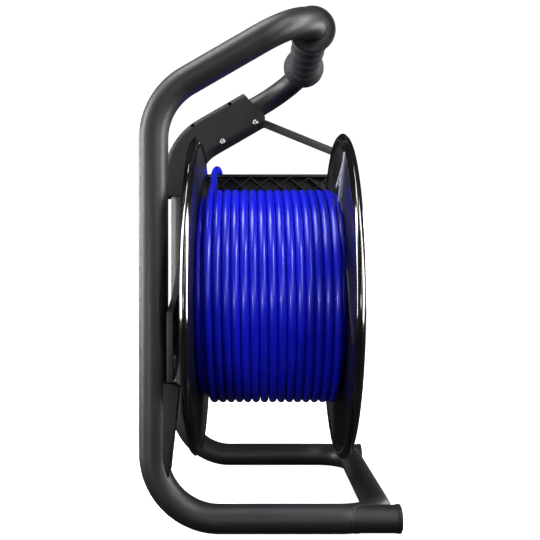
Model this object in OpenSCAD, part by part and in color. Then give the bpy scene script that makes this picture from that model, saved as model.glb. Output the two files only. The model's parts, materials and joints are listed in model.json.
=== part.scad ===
/* [Tube frame] */
// Outside diameter of the frame tube
tube_d = 24; // [23:0.5:25]
// Wall thickness of the frame tube
tube_t = 1.5; // [1:0.1:2]
// Distance between the centre lines of the two legs
leg_gap = 231; // [231:1:236]
// Place of the legs' centre lines along X
leg_x = -92; // [-92:0.5:-90]
// Place of the front cross tube's centre line along X
cross_x = 96; // [90:0.5:96]
// Height at which the straight leg ends and its shoulder bend starts
shoulder_z = 322.7; // [320:0.1:326]
// Slope of the arms above level
arm_angle = 30; // [28:1:32]
// Straight length of an arm, between its two bends
arm_run = 69; // [68:0.5:76]
// Bend radius between a foot and its leg
heel_bend_r = 54; // [50:1:58]
// Bend radius between a leg and its arm
shoulder_bend_r = 55; // [52:1:58]
// Bend radius at the ends of the front cross tube
base_bend_r = 35; // [33:1:37]
// Bend radius at the ends of the handle
handle_bend_r = 54; // [50:1:54]
// Place of the foot stubs' free ends along X
stub_end_x = 110.5; // [108:0.5:112]

/* [Hand grip] */
// Length of the rubber grip
grip_len = 122; // [110:1:122]
// Mean radius of the grip's waved body
grip_r = 16.4; // [15.5:0.1:17.5]
// Radius of the grip's end flanges
grip_flange_r = 21.2; // [19:0.1:22]

/* [Drum] */
// Height of the drum's axis above the floor
drum_z = 192.6; // [190:0.1:196]
// Rim radius of the front flange
front_rim_r = 155; // [150:0.5:156]
// Rim radius of the back flange
back_rim_r = 152; // [148:0.5:153]
// Inner face of the front flange's web along X
front_web_x = 69.6; // [69:0.1:70.5]
// Inner face of the back flange's web along X
back_web_x = -61; // [-61.5:0.1:-60.5]
// Thickness of both flange webs
web_t = 3; // [2.5:0.1:3.5]
// Outside radius of the drum's core
core_r = 88.3; // [87:0.1:88.3]
// Radius of the fixed axle
axle_r = 8; // [7:0.5:9]

/* [Cable] */
// Diameter of the network cable
cable_d = 7.7; // [7:0.1:7.7]
// Outside radius of the wound cable
wound_r = 102.7; // [100:0.1:103]

/* [Elbow clamp and guide] */
// Half the depth of the clamp across its split plane
clamp_half = 17; // [16:0.5:18]
// Reach of the clamp above the tube's centre line
clamp_top = 18.5; // [18:0.1:18.5]
// Reach of the clamp below the tube's centre line
clamp_low = 22; // [20:0.5:22.4]
// Width of the flat stay
stay_w = 8.5; // [7:0.5:9]
// Thickness of the flat stay
stay_t = 3; // [2:0.5:3]
// Top of the cable guide rail
rail_top_z = 328.5; // [326:0.5:328.5]
// Height of the cable guide rail
rail_h = 25.5; // [24:0.5:26]
// Depth of the cable guide rail along Y
rail_depth = 12; // [10:0.5:12]

/* [Hidden] */
$fn = 72;

charcoal = [0.16, 0.16, 0.17];
black = [0.06, 0.06, 0.07];
steel = [0.72, 0.73, 0.75];
cable_blue = [0.05, 0.08, 0.75];

slack = 0.05;                       // radial clearance of pieces that slide over each other
tube_r = tube_d / 2;
bore_r = tube_r - tube_t;
leg_y = leg_gap / 2;
foot_z = tube_r;
heel_x = leg_x + heel_bend_r;       // where the heel bend meets the straight foot
heel_z = foot_z + heel_bend_r;      // where the heel bend meets the straight leg
toe_x = cross_x - base_bend_r;      // where the straight foot meets the base bend
handle_s = arm_run + handle_bend_r; // handle's place along the arm
foot_joint_x = heel_x + 40;         // butt joint between a leg tube and the base tube
spigot_len = 36;
handle_half = leg_y - handle_bend_r;

stub_r = tube_r - 0.7;
stub_bore_r = stub_r - tube_t;
cap_t = 4;                          // thickness of a foot cap's head
stub_open_x = stub_end_x - cap_t;

plate_x = leg_x + tube_r + 0.1;     // back face of the carrier plate
plate_t = 5;
plate_front_x = plate_x + plate_t;
boss_front_x = back_web_x - web_t - 1.6;
boss_r = 36;
neck_r = 20;
neck_back_x = plate_x - 0.5;
axle_head_t = 3;
brace_low_z = 48;
brace_top_z = 124.5;
brace_half = 8.5;                   // half of a brace's width along Y
brace_top_out = 21.5;               // reach from the leg's axis at the top and at the foot
brace_foot_out = 13.5;
screw_heights = [100, 140, 168];    // brace screw and two carrier screws on each leg
screw_r = 3;

back_outer_x = back_web_x - web_t;
front_outer_x = front_web_x + web_t;
sleeve_r = 18;
bush_r = 14;
bush_len = 20;
thrust_t = 1.3;
core_t = 3;
tie_ring_r = 78;
tie_r = 3;
rim_lip = 1;                        // how far a rim bead stands in from its web's inner face
rim_w = 8.2;
rim_ridges = 3;
ridge_h = 0.5;
rim_drop = 3.2;                     // how far the rim falls away from its crown to its edges
rim_steps = 24;
rib_count = 12;
rib_in_r = 112;
rib_out_r = 147;
rib_h = 3.4;

socket_z = drum_z + 54;             // middle of the socket panel
panel_x = front_outer_x;
panel_t = 3;
panel_front_x = panel_x + panel_t;
panel_half = [19, 17];
coupler_half = [8, 7.3];
jack_half = [5.95, 4.1];            // half width and half height of a socket's mouth
jack_depth = 12;
coupler_back_x = 48;
hinge_x = panel_front_x + 3.6;
hinge_z = socket_z + 13.5;
pin_r = 1.2;
barrel_r = 2.6;
cap_half = 8.7;

knob_y = 95;
knob_boss_x = 78;
knob_end_x = 106;
knob_head_x = 100;
shoulder_r = 4;

split_y = leg_y;
clamp_round = 6;
clamp_foot_z = 301.5;
clamp_end_s = 70;
arm_inset = 0.4;                    // how far the clamp's arm part lies inside its bend part
low_holes = [[12.6, -17.2], [54.5, -17]];       // screws: place along the arm and across it
top_holes = [[-7.4, 15.2], [40.2, 14.9]];       // open holes
top_hole_r = 2.1;
clamp_screw_r = 2;

rail_y = split_y + stay_t;
rail_left_x = -69.3;
rail_right_x = 92;
rail_low_z = rail_top_z - rail_h;
chord_t = 3.5;
rail_back_t = 2.5;
lattice_pitch = 22;
lattice_first_x = -80.5;
lattice_t = 1.6;
rail_block_x = 82;
stay_hole = low_holes[1];
stay_start = [leg_x + shoulder_bend_r + stay_hole[0] * cos(arm_angle)
              - (shoulder_bend_r + stay_hole[1]) * sin(arm_angle),
              shoulder_z + stay_hole[0] * sin(arm_angle)
              + (shoulder_bend_r + stay_hole[1]) * cos(arm_angle)];
stay_elbow = [2, 385];
stay_knee = [88, 350];
stay_foot = [88, 315];
rail_screw_y = rail_y + 5.5;
rail_screw_z = 312;

cable_r = cable_d / 2;
wound_left_x = -54.4;
wound_right_x = 65.4;
inner_layer_r = 96;
// Route of the cable's free end: off the windings, over the guide rail and down behind it
tail_route = [
    [-51, 9, 299.6], [-51.4, 25, 304.8], [-52, 41, 310], [-52.4, 57, 315.2], [-52.8, 73, 320.4],
    [-52.9, 89, 325.6], [-52.8, 102, 329.8], [-52.6, 108, 331.6], [-52.3, 114, 333], [-51.8, 120, 333.9],
    [-51.2, 126, 333.9], [-50.6, 132, 332.4], [-50, 137.5, 329.5], [-49.3, 142, 325.5],
    [-48.7, 145.5, 320.5], [-48.2, 147.7, 314.8], [-47.9, 148.4, 308.5], [-47.7, 148.5, 296],
    [-47.5, 148.5, 280], [-47.5, 148.5, 262]
];
tail_sides = 10;
tail_end = tail_route[len(tail_route) - 1];
boot_len = 24;
boot_low_z = tail_end.z - boot_len;
plug_size = [11.7, 8.1, 21.5];

/* Shapes that several pieces use */

// Ring-shaped section of a tube
module tube_section(outer = tube_r, inner = bore_r) {
    difference() {
        circle(outer);
        if (inner > 0) circle(inner);
    }
}

module pipe_x(x0, x1, y, z, outer = tube_r, inner = bore_r)
    translate([x0, y, z]) rotate([0, 90, 0]) linear_extrude(x1 - x0) tube_section(outer, inner);

module pipe_y(y0, y1, x, z, outer = tube_r, inner = bore_r)
    translate([x, y0, z]) rotate([-90, 0, 0]) linear_extrude(y1 - y0) tube_section(outer, inner);

module pipe_z(z0, z1, x, y, outer = tube_r, inner = bore_r)
    translate([x, y, z0]) linear_extrude(z1 - z0) tube_section(outer, inner);

// Tube bent around the origin in the XY plane, from one polar angle to another
module bend(r, from, to, outer = tube_r, inner = bore_r)
    rotate_extrude(angle = to - from, start = from) translate([r, 0]) tube_section(outer, inner);

// Stands children up from the XY plane into the XZ plane
module upright() rotate([90, 0, 0]) children();

// Frame on an arm's centre line: X along the arm from the end of its shoulder bend, Z across it
module on_arm(y) translate([leg_x + shoulder_bend_r, y, shoulder_z]) rotate([0, -arm_angle, 0])
    translate([0, 0, shoulder_bend_r]) children();

// Frame on the drum's axis: local Z runs along the row's X
module on_drum_axis() translate([0, 0, drum_z]) rotate([0, 90, 0]) children();

// Solid turned about the drum's axis between two X stations
module turned(x0, x1, outer, inner = 0)
    on_drum_axis() translate([0, 0, x0]) linear_extrude(x1 - x0) tube_section(outer, inner);

// Rod along X with its middle at a given Y and Z
module rod_x(x0, x1, y, z, r) translate([x0, y, z]) rotate([0, 90, 0]) cylinder(h = x1 - x0, r = r);

// Rod along Y with its middle at a given X and Z
module rod_y(y0, y1, x, z, r) translate([x, y0, z]) rotate([-90, 0, 0]) cylinder(h = y1 - y0, r = r);

// Puts children at the four tie bolts
module at_ties() for (a = [45:90:315])
    translate([0, tie_ring_r * cos(a), drum_z + tie_ring_r * sin(a)]) children();

// Hexagonal nut along X with a round hole
module nut_x(x0, x1, y, z, across, hole_r) {
    translate([x0, y, z]) rotate([0, 90, 0]) difference() {
        cylinder(h = x1 - x0, r = across / 2 / cos(30), $fn = 6);
        translate([0, 0, -1]) cylinder(h = x1 - x0 + 2, r = hole_r);
    }
}

/* Tube frame */

module base_tube() color(charcoal) {
    for (side = [-1, 1]) {
        pipe_x(foot_joint_x, toe_x, side * leg_y, foot_z);
        translate([toe_x, side * (leg_y - base_bend_r), foot_z])
            bend(base_bend_r, side > 0 ? 0 : -90, side > 0 ? 90 : 0);
    }
    pipe_y(base_bend_r - leg_y, leg_y - base_bend_r, cross_x, foot_z);
}

module leg_tube(y) color(charcoal) difference() {
    union() {
        pipe_x(heel_x, foot_joint_x, y, foot_z);
        translate([heel_x, y, heel_z]) upright() bend(heel_bend_r, 180, 270);
        pipe_z(heel_z, shoulder_z, leg_x, y);
        translate([leg_x + shoulder_bend_r, y, shoulder_z]) upright()
            bend(shoulder_bend_r, 90 + arm_angle, 180);
    }
    for (z = screw_heights) rod_x(leg_x, plate_x, y, z, screw_r + 1.5);
}
module leg_tube_near() leg_tube(-leg_y);
module leg_tube_far() leg_tube(leg_y);

module handle_hoop() color(charcoal) on_arm(0) {
    for (side = [-1, 1]) {
        pipe_x(0, arm_run, side * leg_y, 0);
        translate([arm_run, side * handle_half, 0])
            bend(handle_bend_r, side > 0 ? 0 : -90, side > 0 ? 90 : 0);
    }
    pipe_y(-handle_half, handle_half, handle_s, 0);
}

module frame_spigots() color(steel) for (y = [-leg_y, leg_y])
    pipe_x(foot_joint_x - spigot_len / 2, foot_joint_x + spigot_len / 2, y, foot_z,
           bore_r - slack, bore_r - slack - tube_t);

// Short tube that carries the foot on past the base bend, cut to fit the bend
module foot_stub(side) color(charcoal) difference() {
    pipe_x(toe_x + 5, stub_open_x, side * leg_y, foot_z, stub_r, stub_bore_r);
    translate([toe_x, side * (leg_y - base_bend_r), foot_z])
        bend(base_bend_r, side > 0 ? -10 : -100, side > 0 ? 100 : 10, tube_r + slack, 0);
}
module foot_stub_near() foot_stub(-1);
module foot_stub_far() foot_stub(1);

module foot_caps() color(black) for (y = [-leg_y, leg_y]) {
    rod_x(stub_open_x - 4, stub_open_x, y, foot_z, stub_bore_r - slack);
    rod_x(stub_open_x, stub_end_x - 1, y, foot_z, stub_r + 0.5);
    translate([stub_end_x - 1, y, foot_z]) rotate([0, 90, 0])
        cylinder(h = 1, r1 = stub_r + 0.5, r2 = stub_r - 0.5);
}

/* Hand grip */

// Radius of the grip at a distance from its middle: finger waves, then a flare to the flange
function grip_at(y) = let (t = abs(y))
    t > 44 ? grip_r + 2.2 * pow((t - 44) / 13, 2) : grip_r - 0.5 * (1 - cos(y * 360 / 22));

module hand_grip() color(black) on_arm(0) translate([handle_s, 0, 0]) rotate([-90, 0, 0])
    rotate_extrude() polygon(concat(
        [[tube_r + slack, -grip_len / 2], [grip_flange_r - 1.2, -grip_len / 2],
         [grip_flange_r, 1.2 - grip_len / 2], [grip_flange_r, 3 - grip_len / 2]],
        [for (y = [4 - grip_len / 2 : 2 : grip_len / 2 - 4]) [grip_at(y), y]],
        [[grip_flange_r, grip_len / 2 - 3], [grip_flange_r, grip_len / 2 - 1.2],
         [grip_flange_r - 1.2, grip_len / 2], [tube_r + slack, grip_len / 2]]));

/* Drum carrier */

plate_outline = [
    [-128, 125], [-100, 127], [-60, 142], [60, 142], [100, 127], [128, 125], [128, 181],
    [92, 194], [45, 222], [-45, 222], [-92, 194], [-128, 181]
];

// Countersink for a carrier screw's head
module screw_sink(y, z) translate([plate_front_x - screw_r, y, z]) rotate([0, 90, 0])
    cylinder(h = screw_r + 0.2, r1 = screw_r + 0.2, r2 = 2 * screw_r + 0.4);

module carrier_plate() color(charcoal) difference() {
    union() {
        translate([plate_x, 0, 0]) rotate([90, 0, 90]) linear_extrude(plate_t) polygon(plate_outline);
        turned(plate_x, plate_front_x, boss_r + 8);
        translate([plate_x - 10, -60, 142]) cube([10, 120, 3]);
    }
    turned(plate_x - 20, plate_front_x + 1, neck_r + slack);
    for (y = [-leg_y, leg_y]) for (z = [screw_heights[1], screw_heights[2]]) {
        rod_x(plate_x - 1, plate_front_x + 1, y, z, screw_r + 0.2);
        screw_sink(y, z);
    }
}

module hub_boss() color(charcoal) difference() {
    union() {
        turned(neck_back_x, plate_front_x, neck_r);
        turned(plate_front_x, boss_front_x - 2, boss_r);
        on_drum_axis() translate([0, 0, boss_front_x - 2]) cylinder(h = 2, r1 = boss_r, r2 = boss_r - 2);
    }
    turned(neck_back_x - 1, boss_front_x + 1, axle_r + 0.02);
}

brace_outline = [
    [leg_x + 4, brace_low_z], [leg_x + brace_foot_out, brace_low_z],
    [leg_x + brace_top_out, brace_top_z - 4.5], [leg_x + brace_top_out - 4, brace_top_z - 1.5],
    [leg_x + 4, brace_top_z]
];

// Tapered block on the drum side of a leg, below the carrier plate
module leg_brace(y) color(charcoal) difference() {
    translate([0, y + brace_half, 0]) upright() linear_extrude(2 * brace_half) polygon(brace_outline);
    translate([leg_x, y, heel_z - 0.5]) cylinder(h = 80, r = tube_r + slack);
    translate([heel_x, y, heel_z]) upright() bend(heel_bend_r, 180, 240, tube_r + slack, 0);
    rod_x(leg_x, leg_x + 40, y, screw_heights[0], screw_r + 0.2);
    rod_x(plate_front_x + 0.1, leg_x + 40, y, screw_heights[0], 2 * screw_r + 0.5);
    screw_sink(y, screw_heights[0]);
}
module leg_brace_near() leg_brace(-leg_y);
module leg_brace_far() leg_brace(leg_y);

module carrier_screws() color(steel) for (y = [-leg_y, leg_y]) for (z = screw_heights) {
    rod_x(leg_x + 3, plate_front_x - screw_r, y, z, screw_r);
    translate([plate_front_x - screw_r, y, z]) rotate([0, 90, 0])
        cylinder(h = screw_r, r1 = screw_r, r2 = 2 * screw_r);
}

module rivet_nuts() color(steel) for (y = [-leg_y, leg_y]) for (z = screw_heights)
    difference() {
        rod_x(leg_x + 1, plate_x - 1.2, y, z, screw_r + 1.4);
        rod_x(leg_x, plate_x + 1, y, z, screw_r + 0.02);
    }

module axle() color(steel) {
    turned(neck_back_x - axle_head_t, neck_back_x, 12.5);
    turned(neck_back_x, 85, axle_r);
    on_drum_axis() translate([0, 0, 85]) cylinder(h = 1, r1 = axle_r, r2 = axle_r - 1);
}

module axle_washer() color(steel)
    turned(front_outer_x + thrust_t + 0.3, front_outer_x + thrust_t + 2.3, 15, axle_r + slack);

module lock_nut() color(steel)
    nut_x(front_outer_x + thrust_t + 2.3, front_outer_x + thrust_t + 10, 0, drum_z, 24, axle_r + 0.02);

/* Elbow clamp, stay and cable guide */

// Half section of the clamp: X across the arm, Y out from the split plane
module clamp_section(inset = 0) {
    low = clamp_low - inset;
    top = clamp_top - inset;
    out = clamp_half - inset / 2;
    polygon(concat(
        [[-low, 0]],
        [for (a = [180:-15:90]) [clamp_round - low, out - clamp_round] + clamp_round * [cos(a), sin(a)]],
        [for (a = [90:-15:0]) [top - clamp_round, out - clamp_round] + clamp_round * [cos(a), sin(a)]],
        [[top, 0]]));
}

// Slanted, rounded end of the clamp, as the region past it, along and across the arm
clamp_end = [
    [59.3, 25], [59.3, 18.5], [61.5, 6.3], [65.3, -3], [67.5, -12], [66.8, -18], [63.3, -22],
    [63.3, -30], [80, -30], [80, 25]
];

// Frame on the clamp's holes, with children running along Y
module at_holes(places) on_arm(split_y) for (p = places) translate([p[0], 0, p[1]])
    rotate([90, 0, 0]) children();

module clamp_shell() difference() {
    union() {
        translate([leg_x, split_y, clamp_foot_z]) rotate([0, 0, 180])
            linear_extrude(shoulder_z - clamp_foot_z) clamp_section();
        translate([leg_x + shoulder_bend_r, split_y, shoulder_z]) upright()
            rotate_extrude(angle = 90 - arm_angle, start = 90 + arm_angle)
            translate([shoulder_bend_r, 0]) clamp_section();
        on_arm(split_y) translate([-1, 0, 0]) rotate([180, -90, 0])
            linear_extrude(clamp_end_s) clamp_section(arm_inset);
    }
    pipe_z(clamp_foot_z - 1, shoulder_z, leg_x, split_y, tube_r + slack, 0);
    translate([leg_x + shoulder_bend_r, split_y, shoulder_z]) upright()
        bend(shoulder_bend_r, 90 + arm_angle, 180, tube_r + slack, 0);
    on_arm(split_y) pipe_x(-1, clamp_end_s + 1, 0, 0, tube_r + 3 * slack, 0);
    on_arm(split_y) upright() linear_extrude(80, center = true) polygon(clamp_end);
    at_holes(top_holes) cylinder(h = 80, r = top_hole_r, center = true);
    at_holes(low_holes) cylinder(h = 80, r = clamp_screw_r + slack, center = true);
}

// Nut pocket in the outer shell
pocket_t = 3.4;

module clamp_shell_inner() color(charcoal) clamp_shell();

module clamp_shell_outer() color(charcoal) difference() {
    translate([0, split_y, 0]) mirror([0, 1, 0]) translate([0, -split_y, 0]) clamp_shell();
    at_holes(low_holes) translate([0, 0, -clamp_half - 1])
        cylinder(h = pocket_t + 1, r = 4.1, $fn = 6);
    stay_bar(split_y - 1, split_y + stay_t + 0.05, stay_w + 0.3);
    rod_x(leg_x + 13.5, rail_left_x, rail_screw_y, rail_screw_z, clamp_screw_r + slack);
}

module clamp_screws() color(steel) at_holes(low_holes) {
    translate([0, 0, 0.2 - clamp_half]) cylinder(h = 2 * clamp_half - 0.4, r = clamp_screw_r);
    translate([0, 0, clamp_half - 0.2]) cylinder(h = 0.8, r = 2.9);
    translate([0, 0, clamp_half + 0.6]) cylinder(h = 0.6, r1 = 2.9, r2 = 2);
}

module clamp_nuts() color(steel) at_holes(low_holes) translate([0, 0, 0.2 - clamp_half])
    difference() {
        cylinder(h = pocket_t - 0.2, r = 4, $fn = 6);
        translate([0, 0, -1]) cylinder(h = pocket_t + 2, r = clamp_screw_r + 0.02);
    }

function turn_about(p, r, angles) = [for (a = angles) p + r * [cos(a), sin(a)]];

// Direction from one point to another, and the sharp inner corner between two such directions
function heading(from, to) = atan2(to[1] - from[1], to[0] - from[0]);
function inner_corner(p, r, before, after) = let (inside = (before + after) / 2 - 90)
    p + r / cos((before - after) / 2) * [cos(inside), sin(inside)];

// Outline of the bent stay, as X and Z: round ends and outer corners, sharp inner ones
function stay_outline(w) = let (
    rise = heading(stay_start, stay_elbow), slope = heading(stay_elbow, stay_knee))
    concat(
        turn_about(stay_start, w / 2, [for (a = [270:-20:90]) rise + a]),
        turn_about(stay_elbow, w / 2, [for (k = [0:2]) rise + 90 + (slope - rise) * k / 2]),
        turn_about(stay_knee, w / 2, [for (k = [4:-1:0]) (slope + 90) * k / 4]),
        turn_about(stay_foot, w / 2, [for (a = [0:-20:-180]) a]),
        [inner_corner(stay_knee, w / 2, slope, -90), inner_corner(stay_elbow, w / 2, rise, slope)]);

module stay_bar(y0, y1, w)
    translate([0, y1, 0]) upright() linear_extrude(y1 - y0) polygon(stay_outline(w));

module guide_stay() color(charcoal) difference() {
    stay_bar(split_y, split_y + stay_t, stay_w);
    rod_y(split_y - 1, split_y + stay_t + 1, stay_start[0], stay_start[1], clamp_screw_r + slack);
    rod_y(split_y - 1, split_y + stay_t + 1, stay_foot[0], stay_foot[1], clamp_screw_r + slack);
}

// One slanted rib of the lattice, from the top chord to the bottom chord
module lattice_rib(x, way) {
    fall = rail_h - 2 * chord_t;
    translate([x, rail_y + 1, rail_top_z - chord_t]) rotate([0, atan2(fall, way * lattice_pitch), 0])
        translate([-5, 0, -lattice_t / 2])
        cube([norm([fall, lattice_pitch]) + 10, rail_depth - rail_back_t, lattice_t]);
}

module guide_rail() color(black) difference() {
    union() {
        for (z = [rail_low_z, rail_top_z - chord_t])
            translate([rail_left_x, rail_y, z])
                cube([rail_right_x - rail_left_x, rail_depth, chord_t]);
        translate([rail_left_x, rail_y + rail_depth - rail_back_t, rail_low_z])
            cube([rail_right_x - rail_left_x, rail_back_t, rail_h]);
        translate([rail_left_x, rail_y, rail_low_z]) cube([3, rail_depth, rail_h]);
        translate([rail_block_x, rail_y, rail_low_z])
            cube([rail_right_x - rail_block_x, rail_depth, rail_h]);
        intersection() {
            translate([rail_left_x + 1, rail_y, rail_low_z + 1])
                cube([rail_block_x - rail_left_x, rail_depth, rail_h - 2]);
            for (k = [0:7]) for (way = [-1, 1])
                lattice_rib(lattice_first_x + lattice_pitch * (way > 0 ? k : k + 1), way);
        }
    }
    rod_x(rail_left_x - 1, rail_left_x + 4, rail_screw_y, rail_screw_z, clamp_screw_r + slack);
    rod_x(rail_left_x + 3, rail_left_x + 7, rail_screw_y, rail_screw_z, 3.6);
    rod_y(rail_y - 1, rail_y + 10, stay_foot[0], stay_foot[1], clamp_screw_r + slack);
}

module rail_screws() color(steel) {
    rod_x(leg_x + 14, rail_left_x + 3, rail_screw_y, rail_screw_z, clamp_screw_r);
    rod_x(rail_left_x + 3, rail_left_x + 5.2, rail_screw_y, rail_screw_z, 3.4);
    rod_y(split_y, rail_y + 9, stay_foot[0], stay_foot[1], clamp_screw_r);
    rod_y(split_y - 2.2, split_y, stay_foot[0], stay_foot[1], 3.4);
}

/* Drum */

// Rim radius at a fraction of the bead's width: a crown with ridges
function rim_at(rim, t) = rim - rim_drop * pow(abs(2 * t - 1), 2.4)
    - ridge_h * (1 + cos(360 * rim_ridges * t)) / 2;

// Half section of a flange as radius and X; out is +1 or -1, the way away from the windings
function flange_section(rim, web_x, out) = concat(
    [[sleeve_r + slack, web_x], [rim - 9, web_x], [rim - 7, web_x - out * rim_lip]],
    [for (i = [0:rim_steps]) let (t = i / rim_steps)
        [rim_at(rim, t), web_x + out * (rim_w * t - rim_lip)]],
    [[rim - 7, web_x + out * (rim_w - rim_lip)], [rim - 9, web_x + out * web_t],
     [rib_in_r, web_x + out * web_t], [rib_in_r, web_x + out * (web_t + 2.4)],
     [rib_in_r - 4, web_x + out * (web_t + 2.4)], [rib_in_r - 4, web_x + out * web_t],
     [sleeve_r + slack, web_x + out * web_t]]);

module flange(rim, web_x, out) difference() {
    union() {
        on_drum_axis() rotate_extrude() polygon(flange_section(rim, web_x, out));
        for (i = [0:rib_count - 1]) translate([0, 0, drum_z]) rotate([i * 360 / rib_count + 15, 0, 0])
            translate([out > 0 ? web_x + web_t - 0.5 : web_x - web_t - rib_h + 0.5, rib_in_r - 1, -1.5])
            cube([rib_h, rib_out_r - rib_in_r + rim - front_rim_r, 3]);
    }
    at_ties() rotate([0, 90, 0]) cylinder(h = 400, r = tie_r + slack, center = true);
}

module flange_back() color(black) flange(back_rim_r, back_web_x, -1);

// Rib on the winding side of the front flange, from one point to another about the axis
module web_rib(p, q, h_p, h_q, t) {
    run = q - p;
    translate([front_web_x, p[0], drum_z + p[1]]) rotate([atan2(run[1], run[0]), 0, 0])
        rotate([0, 0, 90]) linear_extrude(t, center = true)
        polygon([[0, -1], [norm(run), -1], [norm(run), h_q], [0, h_p]]);
}

module flange_front() color(black) difference() {
    union() {
        flange(front_rim_r, front_web_x, 1);
        rod_x(front_web_x + 0.5, knob_boss_x, knob_y, drum_z, 9);
        web_rib([-40.5, 81], [-76, 126], 3.5, 1.2, 3);
        web_rib([-48.5, 89], [-130, -37], 1.2, 1, 1.5);
    }
    rod_x(front_web_x + 1, knob_boss_x + 1, knob_y, drum_z, tie_r + 0.02);
    translate([front_web_x - 5, -coupler_half[0] - 0.1, socket_z - coupler_half[1] - 0.1])
        cube([20, 2 * coupler_half[0] + 0.2, 2 * coupler_half[1] + 0.2]);
    for (y = [-15, 15]) for (z = [-13, 13])
        rod_x(front_web_x - 1, front_outer_x + 1, y, socket_z + z, 1.5 + slack);
}

module drum_core() color(black) difference() {
    turned(back_web_x + 0.05, front_web_x - 0.05, core_r, core_r - core_t);
    translate([-55.5, 0, drum_z + core_r - 10]) cylinder(h = 20, r = 5.5);
}

module hub_sleeve() color(steel) turned(back_outer_x, front_outer_x, sleeve_r, bush_r + 0.02);

module bush_back() color([0.85, 0.84, 0.8]) {
    turned(back_outer_x, back_outer_x + bush_len, bush_r, axle_r + slack);
    turned(back_outer_x - thrust_t, back_outer_x, sleeve_r - 0.5, axle_r + slack);
}

module bush_front() color([0.85, 0.84, 0.8]) {
    turned(front_outer_x - bush_len, front_outer_x, bush_r, axle_r + slack);
    turned(front_outer_x, front_outer_x + thrust_t, sleeve_r - 0.5, axle_r + slack);
}

module tie_bolts() color(steel) at_ties() {
    rod_x(back_outer_x - 4.5, front_outer_x, 0, 0, tie_r);
    rod_x(front_outer_x, front_outer_x + 2.6, 0, 0, 5.2);
    translate([front_outer_x + 2.6, 0, 0]) rotate([0, 90, 0]) cylinder(h = 0.8, r1 = 5.2, r2 = 4);
}

module tie_nuts() color(steel) at_ties()
    nut_x(back_outer_x - 3.8, back_outer_x, 0, 0, 10, tie_r + 0.02);

module hub_cap() color(black) on_drum_axis() translate([0, 0, front_outer_x + 0.1])
    rotate_extrude() polygon([
        [23, 0], [26, 0], [26, 13], [25, 16], [22.5, 18], [0, 19.5], [0, 17], [21, 15.5], [23, 13]
    ]);

module socket_panel() color(black) difference() {
    union() {
        translate([panel_x, -panel_half[0], socket_z - panel_half[1]])
            cube([panel_t, 2 * panel_half[0], 2 * panel_half[1]]);
        for (y = [-12, 9.1]) translate([panel_front_x - 0.5, y, hinge_z - 3])
            cube([6.9, 2.9, 6]);
    }
    translate([panel_x - 1, -coupler_half[0] - 0.1, socket_z - coupler_half[1] - 0.1])
        cube([10, 2 * coupler_half[0] + 0.2, 2 * coupler_half[1] + 0.2]);
    rod_y(-20, 20, hinge_x, hinge_z, pin_r + 0.02);
    for (y = [-15, 15]) for (z = [-13, 13])
        rod_x(panel_x - 1, panel_front_x + 1, y, socket_z + z, 1.5 + slack);
}

module panel_screws() color(steel) for (y = [-15, 15]) for (z = [-13, 13]) {
    rod_x(front_web_x + 0.5, panel_front_x, y, socket_z + z, 1.5);
    rod_x(panel_front_x, panel_front_x + 1.4, y, socket_z + z, 2.6);
}

module rj45_coupler() color([0.75, 0.76, 0.78]) difference() {
    translate([coupler_back_x, -coupler_half[0], socket_z - coupler_half[1]])
        cube([panel_front_x - coupler_back_x, 2 * coupler_half[0], 2 * coupler_half[1]]);
    for (x = [coupler_back_x - 1, panel_front_x - jack_depth]) {
        translate([x, -jack_half[0], socket_z - jack_half[1]])
            cube([jack_depth + 1, 2 * jack_half[0], 2 * jack_half[1]]);
        translate([x, -3, socket_z - jack_half[1] - 2]) cube([jack_depth + 1, 6, 3]);
    }
}

module entry_grommet() color(black) translate([-55.5, 0, drum_z + core_r - 5]) difference() {
    cylinder(h = 4.6, r = 5.5 - slack);
    translate([0, 0, -1]) cylinder(h = 8, r = cable_r + 0.2);
}

module hinge_pin() color(steel) rod_y(-12, 12, hinge_x, hinge_z, pin_r);

module dust_cap() color(black) difference() {
    union() {
        translate([panel_front_x + 0.4, -cap_half, socket_z - 10])
            cube([2, 2 * cap_half, hinge_z - socket_z + 10]);
        rod_y(-cap_half, cap_half, hinge_x, hinge_z, barrel_r);
        translate([panel_front_x + 0.4, -4, socket_z - 12.5]) cube([3.2, 8, 3]);
    }
    rod_y(-20, 20, hinge_x, hinge_z, pin_r + slack);
}

module knob_bolt() color(steel) {
    rod_x(front_web_x + 1.2, knob_boss_x, knob_y, drum_z, tie_r);
    rod_x(knob_boss_x, knob_head_x, knob_y, drum_z, shoulder_r);
    rod_x(knob_head_x, knob_head_x + 3.4, knob_y, drum_z, 7);
}

module winding_knob() color(black) translate([0, knob_y, drum_z]) rotate([0, 90, 0])
    rotate_extrude() polygon([
        [shoulder_r + slack, knob_boss_x + 0.5], [11, knob_boss_x + 0.5], [12.5, knob_boss_x + 2],
        [12.5, knob_boss_x + 4], [10.4, knob_boss_x + 9], [10.2, knob_boss_x + 13],
        [11.4, knob_boss_x + 18], [13.4, knob_boss_x + 22], [14, knob_boss_x + 24.5],
        [13.2, knob_end_x - 1], [11.5, knob_end_x], [7.6, knob_end_x],
        [7.6, knob_head_x - 0.4], [shoulder_r + slack, knob_head_x - 0.4]
    ]);

/* Cable */

module cable_winding() color(cable_blue) on_drum_axis() rotate_extrude() polygon([
    [core_r + 0.1, back_web_x + 0.2], [inner_layer_r, back_web_x + 0.2],
    [inner_layer_r, wound_left_x], [wound_r, wound_left_x], [wound_r, wound_right_x],
    [core_r + 0.1, wound_right_x]
]);

function unit(v) = v / norm(v);

function route_way(route, i) = unit(route[min(i + 1, len(route) - 1)] - route[max(i - 1, 0)]);

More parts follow.
